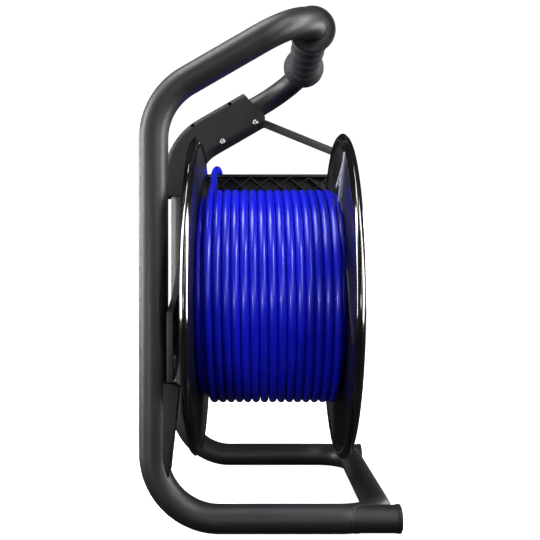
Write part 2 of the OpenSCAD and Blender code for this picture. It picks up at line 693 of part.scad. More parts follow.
// Points of one ring of the tube about a point of its route
function route_ring(route, i, r, sides) =
    let (way = route_way(route, i), side = unit(cross(way, [1, 0, 0])), up = cross(way, side))
    [for (k = [0:sides - 1]) route[i] + r * (cos(360 * k / sides) * side + sin(360 * k / sides) * up)];

module swept_tube(route, r, sides) {
    rings = len(route);
    polyhedron(
        points = [for (i = [0:rings - 1]) each route_ring(route, i, r, sides)],
        faces = concat(
            [[for (k = [0:sides - 1]) k]],
            [[for (k = [sides - 1:-1:0]) (rings - 1) * sides + k]],
            [for (i = [0:rings - 2]) for (k = [0:sides - 1]) let (n = (k + 1) % sides)
                each [[i * sides + n, i * sides + k, (i + 1) * sides + k],
                      [i * sides + n, (i + 1) * sides + k, (i + 1) * sides + n]]]));
}

module cable_tail() color(cable_blue) swept_tube(tail_route, cable_r, tail_sides);

module plug_boot() color(cable_blue) translate([tail_end.x, tail_end.y, boot_low_z])
    cylinder(h = boot_len, r1 = 6.4, r2 = 4.9);

module plug_body() color([0.8, 0.82, 0.84])
    translate([tail_end.x - plug_size.x / 2, tail_end.y - plug_size.y / 2, boot_low_z - plug_size.z])
    cube(plug_size);

module plug_latch() color([0.8, 0.82, 0.84]) translate([tail_end.x - 3, 0, boot_low_z - plug_size.z + 2])
    rotate([90, 0, 90]) linear_extrude(6) polygon([
        for (p = [[0, 0], [0, 3], [-2.6, 14], [-3.6, 14], [-1.4, 0]])
            [tail_end.y - plug_size.y / 2 + p[0], p[1]]
    ]);

base_tube();
leg_tube_near();
leg_tube_far();
handle_hoop();
frame_spigots();
foot_stub_near();
foot_stub_far();
foot_caps();
hand_grip();
carrier_plate();
hub_boss();
leg_brace_near();
leg_brace_far();
carrier_screws();
rivet_nuts();
axle();
axle_washer();
lock_nut();
clamp_shell_inner();
clamp_shell_outer();
clamp_screws();
clamp_nuts();
guide_rail();
guide_stay();
rail_screws();
flange_back();
flange_front();
drum_core();
hub_sleeve();
bush_back();
bush_front();
tie_bolts();
tie_nuts();
hub_cap();
socket_panel();
panel_screws();
rj45_coupler();
entry_grommet();
hinge_pin();
knob_bolt();
winding_knob();
dust_cap();
cable_winding();
cable_tail();
plug_boot();
plug_body();
plug_latch();
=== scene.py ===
"""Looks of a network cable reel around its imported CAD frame.

Shapes are worked out in millimetres in the part's own frame, and make() writes them in metres.
"""
import json
import math

import bmesh
import bpy
from mathutils import Matrix, Vector


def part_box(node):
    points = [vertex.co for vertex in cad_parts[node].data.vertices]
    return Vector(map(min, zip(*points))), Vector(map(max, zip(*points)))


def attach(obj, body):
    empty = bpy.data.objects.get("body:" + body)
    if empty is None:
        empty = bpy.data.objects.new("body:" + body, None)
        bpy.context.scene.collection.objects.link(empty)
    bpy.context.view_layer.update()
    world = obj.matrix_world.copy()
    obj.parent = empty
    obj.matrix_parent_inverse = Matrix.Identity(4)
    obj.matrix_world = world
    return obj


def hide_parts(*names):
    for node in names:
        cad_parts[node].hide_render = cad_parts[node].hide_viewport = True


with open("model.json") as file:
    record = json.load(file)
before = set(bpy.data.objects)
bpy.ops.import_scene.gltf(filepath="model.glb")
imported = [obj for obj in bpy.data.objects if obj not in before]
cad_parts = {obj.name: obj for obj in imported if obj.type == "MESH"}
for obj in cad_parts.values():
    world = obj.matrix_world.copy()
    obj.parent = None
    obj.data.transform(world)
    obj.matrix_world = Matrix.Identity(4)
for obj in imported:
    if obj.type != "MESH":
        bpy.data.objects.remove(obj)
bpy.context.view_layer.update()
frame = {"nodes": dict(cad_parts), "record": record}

MM = 0.001
TAU = 2 * math.pi


# ------------------------ places from the frame

def box(node):
    """Lowest and highest corner of a CAD node, in millimetres."""
    low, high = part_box(node)
    return Vector(low) / MM, Vector(high) / MM


def middle(node):
    low, high = box(node)
    return (low + high) / 2


base_low, base_high = box("base_tube")
TUBE_R = (base_high.z - base_low.z) / 2
TUBE_T = 1.5                                # wall of the frame tube
FOOT_Z = TUBE_R
LEG_Y = base_high.y - TUBE_R
JOINT_X = base_low.x                        # butt joint between a leg tube and the base tube
CROSS_X = base_high.x - TUBE_R
LEG_X = box("leg_tube_near")[0].x + TUBE_R
HEEL_R, SHOULDER_R, BASE_R, HANDLE_R = 54, 55, 35, 54
SHOULDER_Z = 322.7
ARM_ANGLE = math.radians(30)
ARM_RUN = 69
HANDLE_S = ARM_RUN + HANDLE_R

front_low, front_high = box("flange_front")
back_low, back_high = box("flange_back")
AXIS_Z = (front_low.z + front_high.z) / 2
FRONT_RIM = (front_high.z - front_low.z) / 2
BACK_RIM = (back_high.z - back_low.z) / 2
RIM_LIP = 1                                 # how far a rim bead stands in from its web
WEB_T = 3
FRONT_WEB = box("socket_panel")[0].x - WEB_T    # winding sides of the webs
BACK_WEB = back_high.x - RIM_LIP
SLEEVE_R = 18
TIE_RING_R = 78

CABLE_D = 7.7
CORE_R = (box("drum_core")[1].z - box("drum_core")[0].z) / 2

DRUM = Matrix.Translation((0, 0, AXIS_Z)) @ Matrix.Rotation(math.pi / 2, 4, "Y")
ARM = (Matrix.Translation((LEG_X + SHOULDER_R, 0, SHOULDER_Z))
       @ Matrix.Rotation(-ARM_ANGLE, 4, "Y") @ Matrix.Translation((0, 0, SHOULDER_R)))
ALONG_X = Matrix.Rotation(math.pi / 2, 4, "Y")
ALONG_Y = Matrix.Rotation(-math.pi / 2, 4, "X")


# ------------------------ camera

def add_camera():
    data = bpy.data.cameras.new("camera")
    data.lens = 49.58
    data.sensor_width = 36
    data.shift_x = 0.0265
    data.shift_y = 0.0257
    camera = bpy.data.objects.new("camera", data)
    camera.location = (-0.0085, -0.7240, 0.2042)
    camera.rotation_euler = (math.pi / 2, 0, 0)
    bpy.context.collection.objects.link(camera)
    bpy.context.scene.camera = camera


add_camera()


# ------------------------ materials

class Paint:
    """A Principled material whose colour, roughness and bump come from procedural nodes."""

    PLAIN = (0.3, 0.7)                      # the middle of a noise, spread over a value's whole range

    def __init__(self, name, **sockets):
        self.material = bpy.data.materials.new(name)
        self.material.use_nodes = True
        self.tree = self.material.node_tree
        self.shader = self.tree.nodes["Principled BSDF"]
        for socket, value in sockets.items():
            self.shader.inputs[socket.replace("_", " ")].default_value = value
        self.coords = self.node("TexCoord").outputs["Object"]
        self.normal = None

    def node(self, kind, **values):
        made = self.tree.nodes.new("ShaderNode" + kind)
        for key, value in values.items():
            setattr(made, key, value)
        return made

    def link(self, source, target):
        self.tree.links.new(source, target)

    def stretched(self, scale):
        """Object coordinates in metres, multiplied along each axis."""
        mapping = self.node("Mapping")
        mapping.inputs["Scale"].default_value = scale
        self.link(self.coords, mapping.inputs["Vector"])
        return mapping.outputs["Vector"]

    def noise(self, scale, detail=3.0, stretch=(1, 1, 1)):
        made = self.node("TexNoise")
        made.inputs["Scale"].default_value = scale
        made.inputs["Detail"].default_value = detail
        self.link(self.stretched(stretch), made.inputs["Vector"])
        return made.outputs["Fac"]

    def cells(self, scale):
        made = self.node("TexVoronoi")
        made.inputs["Scale"].default_value = scale
        self.link(self.coords, made.inputs["Vector"])
        return made.outputs["Distance"]

    def from_axis(self):
        """Distance from the drum's axis in metres."""
        mapping = self.node("Mapping")
        mapping.inputs["Location"].default_value = (0, 0, -AXIS_Z * MM)
        mapping.inputs["Scale"].default_value = (0, 1, 1)
        self.link(self.coords, mapping.inputs["Vector"])
        made = self.node("VectorMath", operation="LENGTH")
        self.link(mapping.outputs["Vector"], made.inputs[0])
        return made.outputs["Value"]

    def spread(self, value, low, high, span=PLAIN):
        """Turns a span of values into the range from low to high."""
        made = self.node("MapRange")
        for socket, number in zip(("From Min", "From Max", "To Min", "To Max"), (*span, low, high)):
            made.inputs[socket].default_value = number
        self.link(value, made.inputs["Value"])
        return made.outputs["Result"]

    def colour(self, value, dark, light):
        ramp = self.node("ValToRGB")
        first, last = ramp.color_ramp.elements
        first.position, last.position = self.PLAIN
        first.color, last.color = (*dark, 1), (*light, 1)
        self.link(value, ramp.inputs["Fac"])
        self.link(ramp.outputs["Color"], self.shader.inputs["Base Color"])

    def rough(self, value, low, high):
        self.link(self.spread(value, low, high), self.shader.inputs["Roughness"])

    def bump(self, height, strength, depth):
        """Adds a bump of a depth in metres on top of those already there."""
        made = self.node("Bump")
        made.inputs["Strength"].default_value = strength
        made.inputs["Distance"].default_value = depth
        self.link(height, made.inputs["Height"])
        if self.normal:
            self.link(self.normal, made.inputs["Normal"])
        self.normal = made.outputs["Normal"]
        self.link(self.normal, self.shader.inputs["Normal"])


def powder_coat():
    paint = Paint("frame_paint", Specular_IOR_Level=0.5)
    paint.colour(paint.noise(45, 4), (0.008, 0.0082, 0.0086), (0.013, 0.0132, 0.0138))
    paint.rough(paint.noise(700, 2), 0.4, 0.52)
    paint.bump(paint.noise(900, 3), 0.35, 0.0002)
    paint.bump(paint.cells(1500), 0.18, 0.00012)
    return paint.material


def grained_plastic(name, dark, light, low, high):
    """Plastic between two colours and two roughnesses, with a fine moulded grain."""
    grain = 1300
    paint = Paint(name, Specular_IOR_Level=0.35)
    paint.colour(paint.noise(60, 4), dark, light)
    paint.rough(paint.noise(500, 2), low, high)
    paint.bump(paint.cells(grain), 0.2, 0.00012)
    paint.bump(paint.noise(grain / 3, 3), 0.12, 0.0001)
    return paint.material


def grip_rubber():
    paint = Paint("grip_rubber", Specular_IOR_Level=0.35, Sheen_Weight=0.04, Sheen_Roughness=0.5)
    paint.colour(paint.noise(80, 5), (0.006, 0.006, 0.0068), (0.011, 0.011, 0.012))
    paint.rough(paint.noise(300, 3), 0.48, 0.66)
    paint.bump(paint.noise(2400, 2), 0.3, 0.00012)
    paint.bump(paint.noise(180, 4), 0.15, 0.0002)
    return paint.material


def polished_plastic():
    """Satin on the drum's webs and bright on its rims."""
    paint = Paint("drum_plastic", Specular_IOR_Level=0.6)
    paint.colour(paint.noise(30, 4), (0.004, 0.004, 0.0045), (0.008, 0.008, 0.0085))
    from_axis = paint.from_axis()
    web_to_rim = (0.14, 0.147)              # distances from the axis in metres
    for socket, web, rim in (("Roughness", 0.42, 0.12), ("Coat Roughness", 0.27, 0.09),
                             ("Coat Weight", 0.3, 1.0)):
        paint.link(paint.spread(from_axis, web, rim, web_to_rim), paint.shader.inputs[socket])
    paint.bump(paint.noise(35, 2), 0.006, 0.0003)
    paint.bump(paint.noise(1600, 2), 0.02, 0.00003)
    return paint.material


def painted_highlight_grey():
    """Light grey that paints the lamps' highlight onto the raised marks and the rib."""
    paint = Paint("painted_highlight_grey", Metallic=0.2)
    # Painted highlight: this pale grey base colour stands in for the lamps' reflection on the raised edges.
    paint.colour(paint.noise(300, 3), (0.6, 0.6, 0.61), (0.75, 0.75, 0.76))
    paint.rough(paint.noise(900, 2), 0.3, 0.45)
    paint.bump(paint.noise(2000, 2), 0.08, 0.00004)
    return paint.material


def cable_jacket():
    paint = Paint("cable_jacket", Specular_IOR_Level=0.5, Coat_Weight=0.3, Coat_Roughness=0.12)
    paint.colour(paint.noise(45, 3), (0.0045, 0.008, 0.61), (0.006, 0.011, 0.7))
    paint.rough(paint.noise(70, 3), 0.28, 0.33)
    paint.bump(paint.noise(60, 2), 0.012, 0.0003)
    paint.bump(paint.noise(2600, 2), 0.02, 0.00002)
    return paint.material


def zinc_steel():
    paint = Paint("zinc_steel", Metallic=1.0, Anisotropic=0.3)
    paint.colour(paint.noise(220, 5), (0.42, 0.43, 0.45), (0.62, 0.62, 0.63))
    paint.rough(paint.noise(900, 3), 0.24, 0.42)
    paint.bump(paint.noise(1800, 2, (1, 6, 6)), 0.12, 0.00005)
    return paint.material


def jack_shell():
    paint = Paint("jack_shell", Metallic=1.0)
    paint.colour(paint.noise(300, 4), (0.45, 0.46, 0.48), (0.58, 0.59, 0.6))
    paint.rough(paint.noise(700, 3), 0.2, 0.36)
    paint.bump(paint.noise(2600, 2, (8, 1, 1)), 0.1, 0.00004)
    return paint.material


def bush_plastic():
    paint = Paint("bush_plastic", Subsurface_Weight=0.1)
    paint.colour(paint.noise(120, 4), (0.62, 0.6, 0.52), (0.72, 0.7, 0.62))
    paint.rough(paint.noise(500, 3), 0.38, 0.5)
    paint.bump(paint.noise(900, 2), 0.1, 0.00008)
    return paint.material


def clear_plug():
    paint = Paint("clear_plug", Transmission_Weight=0.85, IOR=1.58)
    paint.colour(paint.noise(200, 3), (0.78, 0.82, 0.85), (0.88, 0.91, 0.93))
    paint.rough(paint.noise(600, 3), 0.06, 0.14)
    paint.bump(paint.noise(500, 2), 0.06, 0.00005)
    return paint.material


def gold_contact():
    paint = Paint("gold_contact", Metallic=1.0)
    paint.colour(paint.noise(500, 3), (0.72, 0.5, 0.2), (0.86, 0.62, 0.28))
    paint.rough(paint.noise(900, 3), 0.18, 0.3)
    return paint.material


MATERIALS = {
    "frame_paint": powder_coat(),
    "clamp_plastic": grained_plastic("clamp_plastic", (0.004, 0.004, 0.0043), (0.007, 0.007, 0.0075),
                                     0.5, 0.6),
    "grip_rubber": grip_rubber(),
    "drum_plastic": polished_plastic(),
    "black_plastic": grained_plastic("black_plastic", (0.003, 0.003, 0.003), (0.006, 0.006, 0.0063),
                                     0.34, 0.46),
    "bush_plastic": bush_plastic(),
    "zinc_steel": zinc_steel(),
    "jack_shell": jack_shell(),
    "cable_jacket": cable_jacket(),
    "clear_plug": clear_plug(),
}
GOLD = gold_contact()
PAINTED_HIGHLIGHT = painted_highlight_grey()


# ------------------------ pieces and mesh helpers

def enter(piece, body, slot, stands_for=(), material=None):
    """Puts a piece in the scene on its body, with its slot's material."""
    piece.data.materials.clear()
    piece.data.materials.append(material or MATERIALS[slot])
    bpy.context.collection.objects.link(piece)
    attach(piece, body)
    if stands_for:
        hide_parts(*stands_for)
    return piece


def make(name, shape, body, slot, stands_for=(), material=None, smooth=38):
    """Writes a shape in millimetres as a piece: smooth faces, with edges sharper than smooth kept."""
    bmesh.ops.recalc_face_normals(shape, faces=shape.faces)
    for face in shape.faces:
        face.smooth = True
    for edge in shape.edges:
        edge.smooth = edge.is_manifold and edge.calc_face_angle(0) < math.radians(smooth)
    bmesh.ops.scale(shape, vec=(MM, MM, MM), verts=shape.verts)
    mesh = bpy.data.meshes.new(name)
    shape.to_mesh(mesh)
    shape.free()
    return enter(bpy.data.objects.new(name, mesh), body, slot, stands_for, material)


def add(whole, part, place=None):
    """Moves a part's shape and joins it to the whole."""
    if place is not None:
        bmesh.ops.transform(part, matrix=place, verts=part.verts)
    mesh = bpy.data.meshes.new("part")
    part.to_mesh(mesh)
    part.free()
    whole.from_mesh(mesh)
    bpy.data.meshes.remove(mesh)
    return whole


def soften(shape, width, angle=32, segments=2):
    """Rounds each edge that is sharper than an angle."""
    edges = [e for e in shape.edges if e.is_manifold and e.calc_face_angle(0) > math.radians(angle)]
    bmesh.ops.bevel(shape, geom=edges, offset=width, offset_type="OFFSET", segments=segments,
                    profile=0.5, affect="EDGES", clamp_overlap=True)
    return shape


def rounded(outline, radius, steps=4, closed=True):
    """The outline with each corner turned into an arc, as wide as its sides allow."""
    points = [Vector(p) for p in outline]
    result = []
    for i, corner in enumerate(points):
        ends = not closed and i in (0, len(points) - 1)
        back = points[i - 1] - corner
        ahead = points[(i + 1) % len(points)] - corner
        if ends or not radius or back.angle(ahead) > math.radians(176):
            result.append(corner)
            continue
        half = back.angle(ahead) / 2
        reach = min(radius / math.tan(half), 0.46 * back.length, 0.46 * ahead.length)
        bow = reach * math.tan(half)
        centre = corner + (back.normalized() + ahead.normalized()).normalized() * bow / math.sin(half)
        first = corner + back.normalized() * reach - centre
        last = corner + ahead.normalized() * reach - centre
        start = math.atan2(first.y, first.x)
        turn = (math.atan2(last.y, last.x) - start + math.pi) % TAU - math.pi
        for k in range(steps + 1):
            a = start + turn * k / steps
            result.append(centre + bow * Vector((math.cos(a), math.sin(a))))
    return result


def skin(rings, around=True, along=False):
    """Faces between rings of points; around closes each ring and along joins last to first."""
    shape = bmesh.new()
    verts = [[shape.verts.new(p) for p in ring] for ring in rings]
    size = len(verts[0])
    for a, b in zip(verts, verts[1:] + verts[:1] if along else verts[1:]):
        for i in range(size if around else size - 1):
            j = (i + 1) % size
            shape.faces.new((a[i], a[j], b[j], b[i]))
    return shape


def lathe(profile, steps=96, hexes=()):
    """Turns (radius, height) points about Z. A closed profile is a ring; a profile that starts and
    ends on the axis is a solid. Points whose index is in hexes are six-sided."""
    on_axis = profile[0][0] == 0
    rings = []
    for k in range(steps):
        a = TAU * k / steps
        flat = math.cos(TAU / 12) / math.cos((a % (TAU / 6)) - TAU / 12)
        rings.append([Vector((math.cos(a) * r * (flat if i in hexes else 1),
                              math.sin(a) * r * (flat if i in hexes else 1), h))
                      for i, (r, h) in enumerate(profile)])
    shape = skin(rings, around=not on_axis, along=True)
    if on_axis:
        bmesh.ops.remove_doubles(shape, verts=[v for v in shape.verts if v.co.xy.length < 1e-6], dist=1e-5)
    return shape


def ring(profile, radius, steps):
    """Ring turned from a closed profile with rounded corners."""
    return lathe(rounded(profile, radius, 3), steps)


def prism(outline, low, high, edge=0.4, segments=2):
    """Solid between two heights with the outline's own corners, its rims softened."""
    shape = skin([[Vector((*p, h)) for p in outline] for h in (low, high)])
    shape.verts.ensure_lookup_table()
    size = len(outline)
    for start in (0, size):
        shape.faces.new(shape.verts[start:start + size])
    bmesh.ops.recalc_face_normals(shape, faces=shape.faces)
    return soften(shape, edge, segments=segments)


def block(low, high, edge=0.4, segments=2):
    """Box between two corners with softened edges."""
    outline = [(low[0], low[1]), (high[0], low[1]), (high[0], high[1]), (low[0], high[1])]
    return prism(outline, low[2], high[2], edge, segments)


X, Y, Z = Vector((1, 0, 0)), Vector((0, 1, 0)), Vector((0, 0, 1))


def ring_stations(points, radius, sides, side):
    """Rings of points about each point of a path; radius is a number or a function of the index."""
    last = len(points) - 1
    rings = []
    for i, point in enumerate(points):
        way = (points[min(i + 1, last)] - points[max(i - 1, 0)]).normalized()
        side = (side - way * side.dot(way)).normalized()
        up = way.cross(side)
        r = radius(i) if callable(radius) else radius
        rings.append([point + r * (math.cos(TAU * k / sides) * side + math.sin(TAU * k / sides) * up)
                      for k in range(sides)])
    return rings


def rod(points, radius, side, sides=24):
    """Solid of round section along a path."""
    shape = skin(ring_stations(points, radius, sides, side))
    shape.verts.ensure_lookup_table()
    for start in (0, len(shape.verts) - sides):
        shape.faces.new(shape.verts[start:start + sides])
    return shape


def pipe(points, outer, inner, side, sides=72):
    """Hollow tube along a path, its walls joined by a ring at each end."""
    walls = ring_stations(points, outer, sides, side) + ring_stations(points, inner, sides, side)[::-1]
    return skin(walls, along=True)


def arc(centre, u, v, radius, start, end, step=3):
    """Points of an arc in the plane of u and v, between two angles in degrees."""
    count = max(2, round(abs(end - start) / step))
    angles = [math.radians(start + (end - start) * k / count) for k in range(count + 1)]
    return [centre + radius * (math.cos(a) * u + math.sin(a) * v) for a in angles]


def cut(piece, cutters):
    """Subtracts shapes in millimetres from a piece's mesh."""
    for shape in cutters:
        bmesh.ops.recalc_face_normals(shape, faces=shape.faces)
        bmesh.ops.scale(shape, vec=(MM, MM, MM), verts=shape.verts)
        mesh = bpy.data.meshes.new("cutter")
        shape.to_mesh(mesh)
        shape.free()
        tool = bpy.data.objects.new("cutter", mesh)
        bpy.context.collection.objects.link(tool)
        modifier = piece.modifiers.new("cut", "BOOLEAN")
        modifier.object = tool
        modifier.solver = "EXACT"
        bpy.context.view_layer.update()
        result = bpy.data.meshes.new_from_object(piece.evaluated_get(bpy.context.evaluated_depsgraph_get()))
        piece.modifiers.clear()
        piece.data = result
        bpy.data.objects.remove(tool)


def refined(node, width, body="root", slot="zinc_steel", segments=2, angle=32):
    """A CAD node's own shape with its edges rounded, standing for the node."""
    shape = bmesh.new()
    shape.from_mesh(frame["nodes"][node].data)
    bmesh.ops.scale(shape, vec=(1 / MM,) * 3, verts=shape.verts)
    bmesh.ops.remove_doubles(shape, verts=shape.verts, dist=0.002)
    bmesh.ops.dissolve_limit(shape, angle_limit=math.radians(0.6), verts=shape.verts, edges=shape.edges)
    soften(shape, width, angle, segments)
    return make(node + "_piece", shape, body, slot, (node,))


def bolt(head_r, head_h, shank_r, length):
    """Screw along Z with its domed head above 0, a six-sided socket in it and its shank below."""
    socket_r, floor = head_r * 0.45, head_h * 0.38
    shank = [(0, -length), (shank_r - 0.5, -length), (shank_r, 0.5 - length), (shank_r, 0)]
    head = [(head_r - 0.2, 0), (head_r, 0.2), (head_r, head_h * 0.4), (head_r * 0.95, head_h * 0.76),
            (head_r * 0.84, head_h * 0.96), (head_r * 0.7, head_h), (socket_r * 1.12, head_h)]
    socket = [(socket_r, head_h - 0.15), (socket_r, floor), (0, floor - 0.25)]
    first = len(shank + head)
    return lathe(shank + head + socket, 48, hexes=(first, first + 1))


# ------------------------ cable

# Route of the free end in millimetres: off the windings, over the guide rail and down behind it
TAIL_ROUTE = [
    (-51, 9, 299.6), (-51.4, 25, 304.8), (-52, 41, 310), (-52.4, 57, 315.2), (-52.8, 73, 320.4),
    (-52.9, 89, 325.6), (-52.8, 102, 329.8), (-52.6, 108, 331.6), (-52.3, 114, 333), (-51.8, 120, 333.9),
    (-51.2, 126, 333.9), (-50.6, 132, 332.4), (-50, 137.5, 329.5), (-49.3, 142, 325.5),
    (-48.7, 145.5, 320.5), (-48.2, 147.7, 314.8), (-47.9, 148.4, 308.5), (-47.7, 148.5, 296),
    (-47.5, 148.5, 280), (-47.5, 148.5, 262),
]
INNER_R = CORE_R + CABLE_D / 2 + 0.05
OUTER_R = INNER_R + 6.65                    # the outer layer lies between the turns of the inner one
PITCH = 7.9
INNER_LEFT = BACK_WEB + CABLE_D / 2 + 0.05  # turns that lie against the flanges
INNER_RIGHT = FRONT_WEB - CABLE_D / 2 - 0.15
OUTER_LEFT = -50.9                          # where the cable leaves the windings
LEAVE = 0.95                                # part of a turn, from the top round the back, where it leaves
FIRST_TURN = 0.7                            # turns along the back flange before the cable moves across
CLIMB = 0.5                                 # turns along the front flange up to the outer layer
TURN_POINTS = 72


def winding_route():
    """Centre line of both layers: turns go over the top towards +Y, out along X and back."""
    climb_start = FIRST_TURN + (INNER_RIGHT - INNER_LEFT) / PITCH
    climb_end = climb_start + CLIMB
    total = climb_end + (INNER_RIGHT - OUTER_LEFT) / PITCH
    count = round(total * TURN_POINTS)
    points = []
    for k in range(count + 1):
        turn = total * k / count
        angle = TAU * (LEAVE - total + turn)
        rise = min(1, max(0, (turn - climb_start) / CLIMB))
        radius = INNER_R + (OUTER_R - INNER_R) * (3 * rise ** 2 - 2 * rise ** 3)
        if turn < climb_end:
            x = min(INNER_RIGHT, INNER_LEFT + PITCH * max(0, turn - FIRST_TURN))
        else:
            x = INNER_RIGHT - PITCH * (turn - climb_end)
        points.append(Vector((x, radius * math.sin(angle), AXIS_Z + radius * math.cos(angle))))
    return points


def smooth_route(points, steps):
    """Catmull-Rom curve through points."""
    result = []
    for i in range(len(points) - 1):
        p0, p1, p2 = points[max(i - 1, 0)], points[i], points[i + 1]
        p3 = points[min(i + 2, len(points) - 1)]
        for k in range(steps):
            t = k / steps
            result.append(0.5 * ((2 * p1) + (p2 - p0) * t + (2 * p0 - 5 * p1 + 4 * p2 - p3) * t ** 2
                                 + (3 * p1 - p0 - 3 * p2 + p3) * t ** 3))
    return result + [points[-1]]


def cord_curve(name, points):
    """Open curve of one spline with the cable's round section."""
    data = bpy.data.curves.new(name, "CURVE")
    data.dimensions = "3D"
    data.bevel_depth = CABLE_D / 2 * MM
    data.bevel_resolution = 6
    data.use_fill_caps = True
    spline = data.splines.new("POLY")
    spline.points.add(len(points) - 1)
    for target, point in zip(spline.points, points):
        target.co = (*(point * MM), 1)
    spline.use_smooth = True
    return bpy.data.objects.new(name, data)


def add_plug():
    """Boot, clear body with gold contacts and latch, hanging on the free end of the cable."""
    boot_low, boot_high = box("plug_boot")
    centre = (boot_low + boot_high) / 2
    down = Matrix.Translation((centre.x, centre.y, boot_high.z)) @ Matrix.Rotation(math.pi, 4, "X")
    long = boot_high.z - boot_low.z
    profile = [(CABLE_D / 2 - 0.3, 0), (4.5, 0)]
    for k in range(5):                      # rings of a flexible strain relief
        h = 1.5 + k * 2.8
        profile += [(4.7 + 0.12 * k, h), (4.7 + 0.12 * k, h + 1.3), (4.2 + 0.12 * k, h + 1.6),
                    (4.2 + 0.12 * k, h + 2.5)]
    profile += [(5.6, 16.5), (6.3, 19), (6.3, long), (CABLE_D / 2 - 0.3, long)]
    shape = ring(profile, 0.25, 64)
    bmesh.ops.transform(shape, matrix=down, verts=shape.verts)
    boot = make("boot", shape, "root", "cable_jacket", ("plug_boot",))

    low, high = box("plug_body")
    shape = block(low, high, 0.5)
    contact_pitch = 1.1375
    for k in range(9):                      # ribs between the contacts
        x = low.x + 1.3 + k * contact_pitch
        add(shape, block((x - 0.2, high.y - 0.2, low.z + 0.6), (x + 0.2, high.y + 0.25, low.z + 5.2), 0.08))
    body = make("plug_shell", shape, "root", "clear_plug", ("plug_body",))

    shape = bmesh.new()
    for k in range(8):
        x = low.x + 1.87 + k * contact_pitch
        add(shape, block((x - 0.22, high.y - 1.4, low.z + 0.9), (x + 0.22, high.y + 0.1, low.z + 4.6), 0.08))
    contacts = make("plug_contacts", shape, "root", "clear_plug", material=GOLD)

    latch_low, latch_high = box("plug_latch")
    outline = rounded([(latch_high.y, latch_low.z), (latch_high.y - 1.4, latch_low.z),
                       (latch_low.y, latch_high.z), (latch_low.y + 0.9, latch_high.z),
                       (latch_high.y - 0.1, latch_low.z + 3.4)], 0.5, 3)
    upright = Matrix(((0, 0, 1, 0), (1, 0, 0, 0), (0, 1, 0, 0), (0, 0, 0, 1)))
    shape = prism(outline, latch_low.x, latch_high.x, 0.25)
    bmesh.ops.transform(shape, matrix=upright, verts=shape.verts)
    latch = make("latch", shape, "root", "clear_plug", ("plug_latch",))
    return [boot, body, contacts, latch]


def add_cable():
    wound = winding_route()
    turns = enter(cord_curve("winding", wound), "drum", "cable_jacket", ("cable_winding",))
    leave, before = wound[-1], wound[-2]
    route = smooth_route([leave, *[Vector(p) for p in TAIL_ROUTE]], 6)
    tail = enter(cord_curve("free_end", [before, *route]), "root", "cable_jacket", ("cable_tail",))
    add_plug()


add_cable()


# ------------------------ frame

def add_frame_tubes():
    """Two legs with a heel and a shoulder, the base loop and the handle hoop, as four tubes."""
    for name, y in (("leg_tube_near", -LEG_Y), ("leg_tube_far", LEG_Y)):
        heel = Vector((LEG_X + HEEL_R, y, FOOT_Z + HEEL_R))
        shoulder = Vector((LEG_X + SHOULDER_R, y, SHOULDER_Z))
        path = [Vector((JOINT_X, y, FOOT_Z)), *arc(heel, X, Z, HEEL_R, 270, 180),
                *arc(shoulder, X, Z, SHOULDER_R, 180, 90 + math.degrees(ARM_ANGLE))]
        shape = pipe(path, TUBE_R, TUBE_R - TUBE_T, Y)
        make(name + "_piece", shape, "root", "frame_paint", (name,))

    toe_x = CROSS_X - BASE_R
    bend_y = LEG_Y - BASE_R
    path = [Vector((JOINT_X, -LEG_Y, FOOT_Z)), *arc(Vector((toe_x, -bend_y, FOOT_Z)), X, Y, BASE_R, -90, 0),
            *arc(Vector((toe_x, bend_y, FOOT_Z)), X, Y, BASE_R, 0, 90), Vector((JOINT_X, LEG_Y, FOOT_Z))]
    make("base_tube_piece", pipe(path, TUBE_R, TUBE_R - TUBE_T, Z), "root", "frame_paint", ("base_tube",))

    half, lap = LEG_Y - HANDLE_R, 0.05      # the hoop laps over the ends of the leg tubes by a hair
    path = [Vector((-lap, -LEG_Y, 0)), *arc(Vector((ARM_RUN, -half, 0)), X, Y, HANDLE_R, -90, 0),
            *arc(Vector((ARM_RUN, half, 0)), X, Y, HANDLE_R, 0, 90), Vector((-lap, LEG_Y, 0))]
    shape = pipe(path, TUBE_R, TUBE_R - TUBE_T, Z)
    bmesh.ops.transform(shape, matrix=ARM, verts=shape.verts)
    make("handle_hoop_piece", shape, "root", "frame_paint", ("handle_hoop",))


def weld_line(side, stub_r, count=160):
    """Where a foot stub's outside leaves the base bend, as points around the stub."""
    centre = Vector((CROSS_X - BASE_R, side * (LEG_Y - BASE_R)))
    points = []
    for k in range(count):
        a = TAU * k / count
        y, z = side * LEG_Y + stub_r * math.cos(a), stub_r * math.sin(a)
        inside, outside = centre.x, CROSS_X + TUBE_R
        for _ in range(30):                 # halve the stretch in which the stub leaves the bend
            x = (inside + outside) / 2
            ring_gap = math.hypot(x - centre.x, y - centre.y) - BASE_R
            if math.hypot(ring_gap, z) < TUBE_R:
                inside = x
            else:
                outside = x
        points.append(Vector((inside, y, FOOT_Z + z)))
    return points


def add_welds():
    """Rippled weld bead where each foot stub meets the base tube's bend."""
    low, high = box("foot_stub_near")
    stub_r = (high.z - low.z) / 2
    bead_r, ripple, ripple_points, sides = 0.62, 0.1, 5, 10
    for name, side in (("weld_near", -1), ("weld_far", 1)):
        line = weld_line(side, stub_r)
        rings = []
        for i, point in enumerate(line):
            way = (line[(i + 1) % len(line)] - line[i - 1]).normalized()
            out = (point - Vector((point.x, side * LEG_Y, FOOT_Z))).normalized()
            cross = way.cross(out)
            r = bead_r + ripple * math.sin(TAU * i / ripple_points)
            angles = [TAU * k / sides for k in range(sides)]
            rings.append([point + r * (math.cos(a) * out * 0.75 + math.sin(a) * cross) for a in angles])
        make(name, skin(rings, along=True), "root", "frame_paint")


